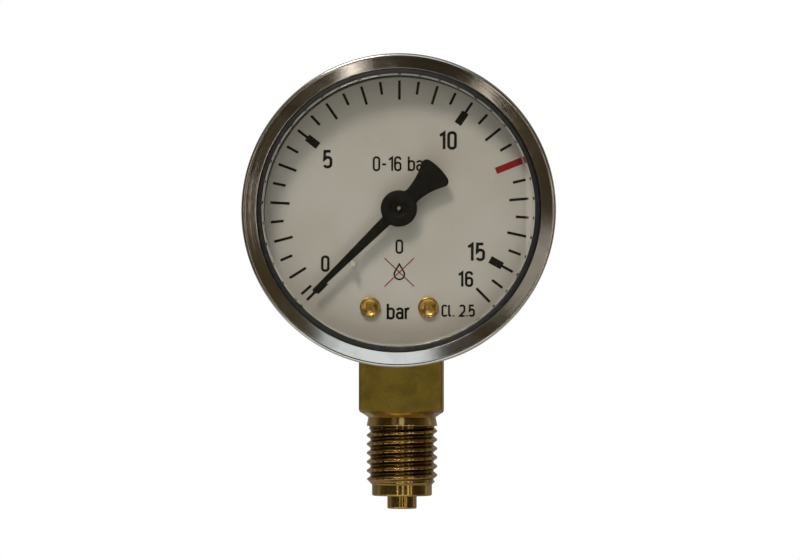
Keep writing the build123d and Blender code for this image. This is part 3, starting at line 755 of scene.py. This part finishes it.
def spring_tube():
    """The flattened hollow tube, curved round the case's centre."""
    mesh = bmesh.new()
    walls = []
    level = (TUBE_WIDTH - TUBE_THICKNESS) / 2
    for half in (TUBE_THICKNESS / 2, TUBE_THICKNESS / 2 - TUBE_WALL):
        section = arc((0, level), half, 0, 180, 10) + arc((0, -level), half, 180, 360, 10)
        rings = []
        for k in range(TUBE_STEPS + 1):
            angle = TUBE_START + (TUBE_END - TUBE_START) * k / TUBE_STEPS
            ring = []
            for offset, height in section:
                x, z = polar(CASE_CENTRE, TUBE_BEND + offset, angle)
                ring.append(mesh.verts.new(at(x, height, z)))
            rings.append(ring)
        join_rings(mesh, rings, closed=False)
        walls.append(rings)
    for end in (0, -1):
        join_rings(mesh, [walls[0][end], walls[1][end]], closed=False)
    bronze = CAD_MATERIALS["tube_bronze"]
    tube = finish_piece("spring_tube", mesh, None, "tube_bronze", bronze, ["bourdon_tube"])
    height = CASE_CENTRE[1]
    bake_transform(tube)


spring_tube()

# ------------------------------------------------------------------ dial furniture


def dial_fasteners():
    """Two turned brass screws whose heads have a conical dimple."""
    low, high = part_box("dial_screws")
    head, shank = 1.72, 0.93
    top, end = DIAL_FRONT + 0.66, DIAL_FRONT - 3.4
    height = (low.z + high.z) / 2 / MM
    reach = (high.x - low.x) / 2 / MM - head
    mesh = bmesh.new()
    for side in (-1, 1):
        profile = rounded([
            (0, end),
            (shank, end),
            (shank, DIAL_FRONT),
            (head, DIAL_FRONT),
            (head, top, 0.22),
            (head - 0.42, top, 0.08),
            (0, DIAL_FRONT + 0.12),
        ])
        add_turned(mesh, profile, (side * reach, height), 96)
    crisp_piece("dial_fasteners", mesh, "root", "bright_brass", BRIGHT_BRASS, ["dial_screws"])


def needle_stop():
    """The moulded pin that the needle rests on at zero."""
    radius = 0.55
    back = back_of("stop_pin")
    front = front_of("stop_pin")
    profile = rounded([
        (0, back),
        (radius + 0.2, back),
        (radius + 0.2, back + 0.4),
        (radius - 0.1, back + 0.4),
        (radius - 0.1, DIAL_FRONT),
        (radius, DIAL_FRONT),
        (radius, front, 0.28),
        (0, front),
    ])
    mesh = bmesh.new()
    add_turned(mesh, profile, PIN_CENTRE, 64)
    crisp_piece("needle_stop", mesh, "root", "white_plastic", WHITE_PLASTIC, ["stop_pin"])


dial_fasteners()
needle_stop()

# ------------------------------------------------------------------ pointer

HUB_RADIUS = 3.02
BORE_RADIUS = 0.95
NEEDLE_LENGTH = 19.8
NEEDLE_TIP = 0.42
TAIL_LENGTH = 9.8
TAIL_SPREAD = 20.6
TAIL_CORNER = 0.9


def three_point_arc(start, through, end, steps):
    """Points of the arc through three points, start left out."""
    one, two, three = Vector(start), Vector(through), Vector(end)
    a, b = two - one, three - one
    cross = 2 * (a.x * b.y - a.y * b.x)
    centre = one + Vector(
        (
            (b.y * a.length_squared - a.y * b.length_squared) / cross,
            (a.x * b.length_squared - b.x * a.length_squared) / cross,
        )
    )
    first, last = one - centre, three - centre
    swing = first.angle_signed(last)
    turns = [Matrix.Rotation(-swing * k / steps, 2) for k in range(1, steps + 1)]
    return [tuple(centre + turn @ first) for turn in turns]


def needle_outline():
    """The pointer's outline with the needle along +x: needle, hub and fan-shaped tail."""
    corner = (
        -TAIL_LENGTH * cos(radians(TAIL_SPREAD)) + 0.3,
        TAIL_LENGTH * sin(radians(TAIL_SPREAD)) - 0.1,
    )
    needle_turn = degrees(asin(0.83 / HUB_RADIUS))
    neck_turn = 180 - degrees(asin(1.30 / HUB_RADIUS))
    neck = polar((0, 0), HUB_RADIUS, neck_turn)
    upper = [(NEEDLE_LENGTH, 0), (NEEDLE_LENGTH - 0.15, NEEDLE_TIP)]
    upper += arc((0, 0), HUB_RADIUS, needle_turn, neck_turn, 28)
    turn = degrees(atan2(corner[1], -corner[0]))
    side = three_point_arc(neck, (-5.6, 1.74), corner, 14)
    end = arc((0, 0), hypot(*corner), 180 - turn, 180, 10)
    away = [[p for p in run if (Vector(p) - Vector(corner)).length > 1.2] for run in (side, end)]
    upper += away[0] + [(*corner, TAIL_CORNER)] + away[1]
    lower = [(x, -y, *radius) for x, y, *radius in reversed(upper[1:-1])]
    return rounded(upper + lower, 6)


def pointer_piece():
    """The needle with its tail, a flat plate, under its raised hub."""
    turn = radians(POINTER_ANGLE)
    outline = [
        (
            DIAL_CENTRE[0] + x * cos(turn) - y * sin(turn),
            DIAL_CENTRE[1] + x * sin(turn) + y * cos(turn),
        )
        for x, y in needle_outline()
    ]
    back, front = back_of("pointer"), front_of("pointer")
    mesh = bmesh.new()
    add_plate(mesh, outline, back, front)
    rims = [e for e in mesh.edges if abs(e.verts[0].co.y - e.verts[1].co.y) < 1e-9]
    bmesh.ops.bevel(mesh, geom=rims, offset=0.07 * MM, segments=3, affect="EDGES", profile=0.6)
    # the raised hub, a turned ring with a round edge and a bore for the bushing
    hub = rounded([
        (BORE_RADIUS, back),
        (HUB_RADIUS - 0.1, back),
        (HUB_RADIUS - 0.1, front + 0.3, 0.2),
        (BORE_RADIUS + 0.55, front + 0.3, 0.15),
        (BORE_RADIUS, front - 0.15),
    ])
    add_turned(mesh, hub, DIAL_CENTRE, 128)
    crisp_piece("needle", mesh, "pointer_group", "pointer_black", SATIN_BLACK, ["pointer"])


pointer_piece()

# ------------------------------------------------------------------ dial print

PRINT_HEIGHT = 0.03
LONG_TICK, SHORT_TICK = 3.2, 2.15
TICK_WIDTH = 0.43
TICK_END = 21.5
BLOCK_START, BLOCK_END = 2.0, 4.3  # inwards from TICK_END, at every fifth bar
BLOCK_WIDTH = 1.25
RED_PRESSURE = 12
FULL_SCALE = 16
SCALE_END = -45.8
BAR_ANGLE = 16.72  # degrees for a bar at the top of the scale
BAR_GROWTH = 0.031  # the bars widen slowly towards zero


def scale_angle(pressure):
    """The direction of a pressure on the dial; the scale is drawn together at zero."""
    if pressure == 0:
        return POINTER_ANGLE
    below = FULL_SCALE - pressure
    return SCALE_END + below * (BAR_ANGLE + BAR_GROWTH * below)


def add_mark(mesh, angle, outer, inner, width):
    """A radial bar of ink."""
    ray = radians(angle)
    along, across = Vector((cos(ray), sin(ray))), Vector((-sin(ray), cos(ray))) * width / 2
    centre = Vector(DIAL_CENTRE)
    outline = [
        centre + along * inner - across,
        centre + along * outer - across,
        centre + along * outer + across,
        centre + along * inner + across,
    ]
    add_plate(mesh, outline, DIAL_FRONT, DIAL_FRONT + PRINT_HEIGHT)


def add_stroke(mesh, points, width, closed=False):
    """A line of ink of even width along points, with mitred turns."""
    points = [Vector(p) for p in points]
    if closed:
        points = points[:-1]
    count = len(points)
    left, right = [], []
    for k, here in enumerate(points):
        if closed or 0 < k < count - 1:
            before = (here - points[k - 1]).normalized()
            after = (points[(k + 1) % count] - here).normalized()
        elif k == 0:
            before = after = (points[1] - here).normalized()
        else:
            before = after = (here - points[k - 1]).normalized()
        way = (before + after).normalized()
        reach = width / 2 / max(0.35, way.dot(before))
        side = Vector((-way.y, way.x)) * reach
        left.append(here + side)
        right.append(here - side)
    rails = []
    for level in (DIAL_FRONT, DIAL_FRONT + PRINT_HEIGHT):
        rails += [add_loop(mesh, rail, level) for rail in (left, right)]
    low_left, low_right, high_left, high_right = rails
    last = count if closed else count - 1
    for one, other in (
        (low_left, low_right),
        (high_right, high_left),
        (low_right, high_right),
        (high_left, low_left),
    ):
        for k in range(last):
            n = (k + 1) % count
            mesh.faces.new([one[k], one[n], other[n], other[k]])
    if not closed:
        for k in (0, -1):
            mesh.faces.new([low_left[k], low_right[k], high_right[k], high_left[k]])


def bowl(width, low, high, start, end, steps=16):
    """Part of a flattened round: two half circles as wide as the bowl, joined by straight sides."""
    radius = width / 2
    points = []
    for k in range(steps + 1):
        turn = radians(start + (end - start) * k / steps)
        rise = (high - low) / 2 - radius
        shift = rise if sin(turn) >= 0 else -rise
        height = (low + high) / 2 + shift + radius * sin(turn)
        points.append((radius + radius * cos(turn), height))
    return points


# Each glyph is (width, [(closed, points), ...]) for a line of even width and a height of 1.
GLYPHS = {
    "0": (0.37, [(True, bowl(0.37, 0, 1, 1, 361, 28))]),
    "O": (0.40, [(True, bowl(0.40, 0, 1, 1, 361, 28))]),
    "1": (0.22, [(False, [(0, 0.80), (0.22, 0.98), (0.22, -0.05)])]),
    "2": (0.36, [(False, bowl(0.36, 0.35, 1, 165, -35) + [(0.0, 0.0), (0.38, 0.0)])]),
    "5": (
        0.37,
        [(False, [(0.35, 1), (0.04, 1), (0.02, 0.50)] + bowl(0.37, 0, 0.62, 125, -160)[1:])],
    ),
    "6": (
        0.37,
        [
            (True, bowl(0.37, 0, 0.58, 1, 361, 24)),
            (False, [(0.36, 0.80)] + bowl(0.37, 0.3, 1, 25, 180, 10) + [(0, 0.28)]),
        ],
    ),
    "-": (0.26, [(False, [(0, 0.45), (0.26, 0.45)])]),
    ".": (0.06, [(False, [(0.03, -0.055), (0.03, 0.07)])]),
    "b": (0.36, [(False, [(0, -0.055), (0, 1.05)]), (True, bowl(0.36, 0, 0.7, 1, 361, 24))]),
    "a": (
        0.34,
        [
            (False, bowl(0.34, 0.3, 0.7, 165, 0, 12) + [(0.34, -0.055)]),
            (True, bowl(0.34, 0, 0.4, 1, 361, 24)),
        ],
    ),
    "r": (
        0.24,
        [
            (False, [(0, -0.055), (0, 0.75)]),
            (False, [(0, 0.46)] + bowl(0.34, 0.3, 0.7, 140, 70, 6)),
        ],
    ),
    "C": (0.36, [(False, bowl(0.36, 0, 1, 20, 340, 28))]),
    "l": (0.16, [(False, [(0, 1.05), (0, 0.16), (0.05, 0.03), (0.17, 0.0)])]),
    " ": (0.16, []),
}


# words, millimetres right and up of the pointer's axis, height, then line weight and gap
PRINTED = [
    ("0", -12.3, -9.0, 2.75),
    ("5", -11.95, 8.4, 3.1),
    ("10", 8.05, 11.45, 3.1),
    ("15", 12.7, -7.1, 3.1),
    ("16", 10.95, -11.6, 2.65),
    ("0-16 bar", 0.3, 7.6, 2.5, 0.13, 0.19),
    ("O", 0.0, -6.2, 2.4, 0.14),
    ("bar", -0.1, -16.95, 2.7, 0.145, 0.2),
    ("Cl. 2.5", 9.75, -16.85, 2.05, 0.155, 0.17),
]


def add_text(mesh, words, centre, height, weight=0.15, gap=0.24):
    """Words in a plain line letter, centred on a point of the dial, capitals height tall."""
    advance = [GLYPHS[letter][0] + gap for letter in words]
    x = centre[0] - (sum(advance) - gap) * height / 2
    stroke = weight * height
    tall = height - stroke
    for letter, step in zip(words, advance):
        for closed, points in GLYPHS[letter][1]:
            placed = [(x + u * height, centre[1] - tall / 2 + v * tall) for u, v in points]
            add_stroke(mesh, placed, stroke, closed)
        x += step * height


def on_dial(x, z):
    """A point measured from the pointer's axis, in millimetres right and up."""
    return (DIAL_CENTRE[0] + x, DIAL_CENTRE[1] + z)


def black_print():
    """The scale's marks, its figures and words."""
    mesh = bmesh.new()
    for half_bar in range(2 * FULL_SCALE + 1):
        pressure = half_bar / 2
        angle = scale_angle(pressure)
        if pressure in (0, 5, 10, 15):
            add_mark(mesh, angle, TICK_END, TICK_END - BLOCK_START, TICK_WIDTH)
            add_mark(mesh, angle, TICK_END - BLOCK_START, TICK_END - BLOCK_END, BLOCK_WIDTH)
        elif pressure != RED_PRESSURE:
            length = SHORT_TICK if half_bar % 2 else LONG_TICK
            add_mark(mesh, angle, TICK_END, TICK_END - length, TICK_WIDTH)
    for words, x, z, *style in PRINTED:
        add_text(mesh, words, on_dial(x, z), *style)
    finish_piece("dial_print_black", mesh, "root", None, BLACK_INK)


def red_print():
    mesh = bmesh.new()
    add_mark(mesh, scale_angle(RED_PRESSURE), 21.9, 17.25, 1.1)
    finish_piece("dial_print_red", mesh, "root", None, RED_INK)


def keep_clean_sign():
    """A drop, crossed out: no oil in the gauge."""
    centre = on_dial(0.0, -10.45)
    drop = [(centre[0], centre[1] + 1.35)]
    drop += arc((centre[0], centre[1] - 0.35), 0.85, 30, -210, 20)
    drop += [(centre[0], centre[1] + 1.35)]
    mesh = bmesh.new()
    add_stroke(mesh, drop, 0.26, closed=True)
    finish_piece("oil_drop_sign", mesh, "root", None, BLACK_INK)
    cross = bmesh.new()
    for side in (-1, 1):
        ends = [(centre[0] + k * side * 2.45, centre[1] + k * 2.35) for k in (-1, 1)]
        add_stroke(cross, ends, 0.17)
    for vertex in cross.verts:
        vertex.co.y -= 0.01 * MM
    finish_piece("oil_drop_cross", cross, "root", None, RED_INK)


black_print()
red_print()
keep_clean_sign()

# ------------------------------------------------------------------ stem

SQUARE_HALF = 7.0
SQUARE_EDGE = 0.3
SQUARE_BOTTOM, SQUARE_TOP = 0.75, 11.55
CONE_RISE = 0.19
SHANK_RADIUS = 6.0
NECK_RADIUS = 5.75
RELIEF_RADIUS = 5.55
RELIEF_TOP, RELIEF_BOTTOM = -1.55, -1.85
PITCH = 1.5
THREAD_DEPTH = 0.62
GROOVE_HALF, FLANK_WIDTH = 0.62, 0.5
CREST = -4.25  # height of a crest where it faces the reader
THREAD_END, PILOT_TOP = -10.55, -11.5
PILOT_RADIUS = 5.1
SEALING_FACE = -13.35
SPIGOT_RADIUS = 2.5
SPIGOT_END = -15.55
END_ROUND = 0.25
POCKET_RADIUS = 1.5
POCKET_TOP = -11.25
THREAD_STEP = 0.05
BLOCK_HALF, BLOCK_BOTTOM, BLOCK_FRONT = 7.0, 12.6, 4.4
FOOT_HALF, FOOT_TOP, FOOT_BACK = 9.0, 13.55, -7.2


def square_directions(flat_steps=36, corner_steps=6):
    """(angle, distance) round the wrench square, whose edges are slightly rounded."""
    found = []
    flat = SQUARE_HALF - SQUARE_EDGE
    for side in range(4):
        turn = 90.0 * side
        for k in range(flat_steps):
            across = -flat + 2 * flat * k / flat_steps
            found.append((turn + degrees(atan2(across, SQUARE_HALF)), hypot(across, SQUARE_HALF)))
        for k in range(corner_steps):
            x, y = polar((flat, flat), SQUARE_EDGE, 90 * k / corner_steps)
            found.append((turn + degrees(atan2(y, x)), hypot(x, y)))
    return found


def groove(phase):
    """How deep the thread is cut at a distance from the middle of the groove, in millimetres."""
    away = abs(phase)
    flank = max(0.0, min(1.0, (GROOVE_HALF - away) / FLANK_WIDTH))
    return THREAD_DEPTH * flank * (0.25 * flank * (1 - flank) + 1.0)


def shank_radius(height, angle):
    """The threaded shank's radius, inside its relief at the top and its chamfer at the end."""
    if height > RELIEF_BOTTOM - 0.45:
        envelope = RELIEF_RADIUS + (RELIEF_BOTTOM - height)
    elif height < THREAD_END:
        slope = (SHANK_RADIUS - PILOT_RADIUS) / (THREAD_END - PILOT_TOP)
        envelope = SHANK_RADIUS - slope * (THREAD_END - height)
    else:
        envelope = SHANK_RADIUS
    climb = (height - CREST) / PITCH - (angle + 90) / 360
    phase = (climb - floor(climb) - 0.5) * PITCH
    return min(envelope, SHANK_RADIUS - groove(phase))


def stem_piece():
    """One closed mesh: wrench square, collar, right-hand thread, pilot, spigot and its bore."""
    directions = square_directions()
    mesh = bmesh.new()

    def ring(radius_and_height):
        made = []
        for angle, distance in directions:
            radius, height = radius_and_height(angle, distance)
            x, y = polar((0, 0), radius, angle)
            made.append(mesh.verts.new(Vector((x, y, height)) * MM))
        return made

    def turned(points):
        return [ring(lambda a, d, r=r, z=z: (r, z)) for r, z in points]

    rings = [[mesh.verts.new(Vector((0, 0, SQUARE_TOP)) * MM)]]
    rings += [ring(lambda a, d: (d, SQUARE_TOP)), ring(lambda a, d: (d, 6.0))]
    rings += [ring(lambda a, d: (d, SQUARE_BOTTOM + CONE_RISE * (d - SQUARE_HALF)))]
    rings += turned(
        [(SQUARE_HALF - 0.05, SQUARE_BOTTOM), (NECK_RADIUS + 0.15, 0.06), (NECK_RADIUS, -0.1)]
        + [(SHANK_RADIUS - 0.02, RELIEF_TOP + 0.25)]
        + arc((SHANK_RADIUS - 0.15, RELIEF_TOP + 0.15), 0.15, 0, -90, 4)
        + [(RELIEF_RADIUS, RELIEF_TOP), (RELIEF_RADIUS, RELIEF_BOTTOM)]
    )
    rows = ceil((RELIEF_BOTTOM - PILOT_TOP) / THREAD_STEP)
    for k in range(1, rows):
        height = RELIEF_BOTTOM + (PILOT_TOP - RELIEF_BOTTOM) * k / rows
        rings.append(ring(lambda a, d, z=height: (shank_radius(z, a), z)))
    rings += turned(
        [(PILOT_RADIUS, PILOT_TOP), (PILOT_RADIUS, PILOT_TOP - 0.06)]
        + [(PILOT_RADIUS, SEALING_FACE + 0.4), (PILOT_RADIUS, SEALING_FACE + 0.32)]
        + arc((PILOT_RADIUS - END_ROUND, SEALING_FACE + END_ROUND), END_ROUND, 0, -90, 4)
        + [(SPIGOT_RADIUS + 0.12, SEALING_FACE), (SPIGOT_RADIUS, SEALING_FACE - 0.12)]
        + [(SPIGOT_RADIUS, SEALING_FACE - 0.2)]
        + [(SPIGOT_RADIUS, SPIGOT_END + 0.4), (SPIGOT_RADIUS, SPIGOT_END + 0.32)]
        + arc((SPIGOT_RADIUS - END_ROUND, SPIGOT_END + END_ROUND), END_ROUND, 0, -90, 4)
        + [(POCKET_RADIUS + 0.12, SPIGOT_END), (POCKET_RADIUS, SPIGOT_END + 0.12)]
        + [(POCKET_RADIUS, POCKET_TOP)]
    )
    rings.append([mesh.verts.new(Vector((0, 0, POCKET_TOP)) * MM)])
    join_rings(mesh, rings, closed=False)
    crisp_piece("stem_body", mesh, "root", "stem_brass", STEM_BRASS, ["stem"], 40)


def socket_block():
    """The milled block inside the case that holds the tube's fixed end and the movement."""
    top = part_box("stem")[1].z / MM
    corners = [(-BLOCK_HALF, BLOCK_BOTTOM, 0.4), (BLOCK_HALF, BLOCK_BOTTOM, 0.4)]
    corners += [(BLOCK_HALF, top, 0.4), (-BLOCK_HALF, top, 0.4)]
    mesh = bmesh.new()
    add_plate(mesh, rounded(corners), CASE_BACK + CASE_WALL, BLOCK_FRONT)
    foot_radius = CASE_RADIUS - CASE_WALL - 0.05
    turn = degrees(asin(FOOT_HALF / foot_radius))
    foot = arc(CASE_CENTRE, foot_radius, 270 - turn, 270 + turn, 16)
    foot += [(FOOT_HALF, FOOT_TOP), (-FOOT_HALF, FOOT_TOP)]
    add_plate(mesh, foot, FOOT_BACK, BLOCK_FRONT)
    crisp_piece("socket_block", mesh, "root", "stem_brass", STEM_BRASS, ["stem"])


stem_piece()
socket_block()

# ------------------------------------------------------------------ stage, light and camera

FLOOR_LEVEL = -50.0
FLOOR_RADIUS = 320.0


def stage_floor():
    """A plain pale floor that fades out before its edge."""
    mesh = bmesh.new()
    bmesh.ops.create_circle(mesh, cap_ends=True, segments=96, radius=FLOOR_RADIUS * MM)
    data = bpy.data.meshes.new("stage_floor")
    mesh.to_mesh(data)
    mesh.free()
    ground = bpy.data.objects.new("stage_floor", data)
    ground.location = (0, 0, FLOOR_LEVEL * MM)
    bpy.context.scene.collection.objects.link(ground)
    f = Finish("stage_floor")
    f.set(
        Base_Color=f.blend(f.noise(0.02, 3), (0.80, 0.80, 0.79), (0.84, 0.84, 0.83)),
        Roughness=0.7,
        Alpha=f.rescale(f.radius_of(f.place, (1, 1, 0)), 110.0, 300.0, 1.0, 0.0),
    )
    data.materials.append(f.material)


ROOM_COLOURS = [  # from in front of the gauge, 0, to behind it, 1
    (0.0, (0.040, 0.028, 0.013)),
    (0.12, (0.050, 0.036, 0.015)),
    (0.30, (0.056, 0.043, 0.022)),
    (0.48, (0.10, 0.09, 0.07)),
    (0.62, (0.21, 0.20, 0.175)),
    (1.0, (0.30, 0.29, 0.27)),
]
ROOM_ABOVE = (0.24, 0.23, 0.20)


def surroundings():
    """White to the camera; what the metal mirrors is a dim brown room, lighter behind the gauge."""
    world = bpy.data.worlds.new("room")
    bpy.context.scene.world = world
    w = Nodes(world)
    direction = w.node("ShaderNodeTexCoord").outputs["Generated"]
    ramp = w.node("ShaderNodeValToRGB")
    w.link(w.rescale(w.part_of(direction, 1), -1.0, 1.0, kind="LINEAR"), ramp.inputs["Fac"])
    while len(ramp.color_ramp.elements) < len(ROOM_COLOURS):
        ramp.color_ramp.elements.new(0.5)
    for element, (position, colour) in zip(ramp.color_ramp.elements, ROOM_COLOURS):
        element.position = position
        element.color = (*colour, 1)
    above = w.rescale(w.part_of(direction, 2), 0.45, 0.75)
    room = w.node("ShaderNodeBackground")
    w.link(w.blend(above, ramp.outputs["Color"], ROOM_ABOVE), room.inputs["Color"])
    strength = w.rescale(w.noise(2.2, 3, direction), 0.35, 0.65, 0.6, 1.5, "LINEAR")
    w.link(strength, room.inputs["Strength"])
    backdrop = w.node("ShaderNodeBackground")
    backdrop.inputs["Color"].default_value = (1, 1, 1, 1)
    rays = w.node("ShaderNodeLightPath")
    mixed = w.node("ShaderNodeMixShader")
    w.link(rays.outputs["Is Camera Ray"], mixed.inputs[0])
    w.link(room.outputs[0], mixed.inputs[1])
    w.link(backdrop.outputs[0], mixed.inputs[2])
    w.link(mixed.outputs[0], w.node("ShaderNodeOutputWorld").inputs["Surface"])


WARM = (1.0, 0.91, 0.79)
# name, azimuth, elevation, distance, width, height, power, colour
LAMPS = [
    ("key", -22, 49, 700, 170, 170, 1.55, (1.0, 0.90, 0.78)),
    ("window", 0.7, 34, 700, 200, 400, 0.25, (0.88, 0.97, 1.0)),
    ("pane", -25, 13, 700, 180, 150, 0.028, WARM),
    ("low_window", -14, -50, 95, 150, 30, 0.015, (0.84, 0.96, 1.0)),
    ("strip_left", -15, -2, 900, 40, 380, 0.105, WARM),
    ("strip_middle", 5, -6, 900, 36, 520, 0.13, WARM),
    ("strip_right", 26, -6, 900, 80, 520, 0.19, WARM),
    ("strip_edge", 38, -6, 900, 60, 520, 0.13, WARM),
    ("side_right", 110, 0, 700, 120, 600, 0.06, WARM),
]


def lamp(name, azimuth, elevation, distance, width, height, power, colour):
    """A soft panel aimed at the dial; azimuth is to the right of the reader, elevation up."""
    target = at(DIAL_CENTRE[0], DIAL_FRONT, DIAL_CENTRE[1])
    a, e = radians(azimuth), radians(elevation)
    way = Vector((sin(a) * cos(e), -cos(a) * cos(e), sin(e)))
    data = bpy.data.lights.new(name, "AREA")
    data.shape = "RECTANGLE"
    data.size, data.size_y = width * MM, height * MM
    data.energy = power
    data.color = colour
    panel = bpy.data.objects.new(name, data)
    panel.location = target + way * distance * MM
    panel.rotation_euler = way.to_track_quat("Z", "Y").to_euler()
    panel.visible_camera = False
    bpy.context.scene.collection.objects.link(panel)


CAMERA_AT = Vector((16.9, 450.0, 2.25))  # x, level and height
CAMERA_AIM = Vector((-0.34, 0.0, 23.34))
CAMERA_LENS = 118.85


def camera():
    data = bpy.data.cameras.new("camera")
    data.sensor_width = 36.0
    data.lens = CAMERA_LENS
    data.clip_start, data.clip_end = 0.01, 20.0
    eye = bpy.data.objects.new("camera", data)
    place, aim = at(*CAMERA_AT), at(*CAMERA_AIM)
    eye.location = place
    eye.rotation_euler = (place - aim).to_track_quat("Z", "Y").to_euler()
    bpy.context.scene.collection.objects.link(eye)
    bpy.context.scene.camera = eye


stage_floor()
surroundings()
for settings in LAMPS:
    lamp(*settings)
camera()
bpy.context.scene.view_settings.view_transform = "Standard"
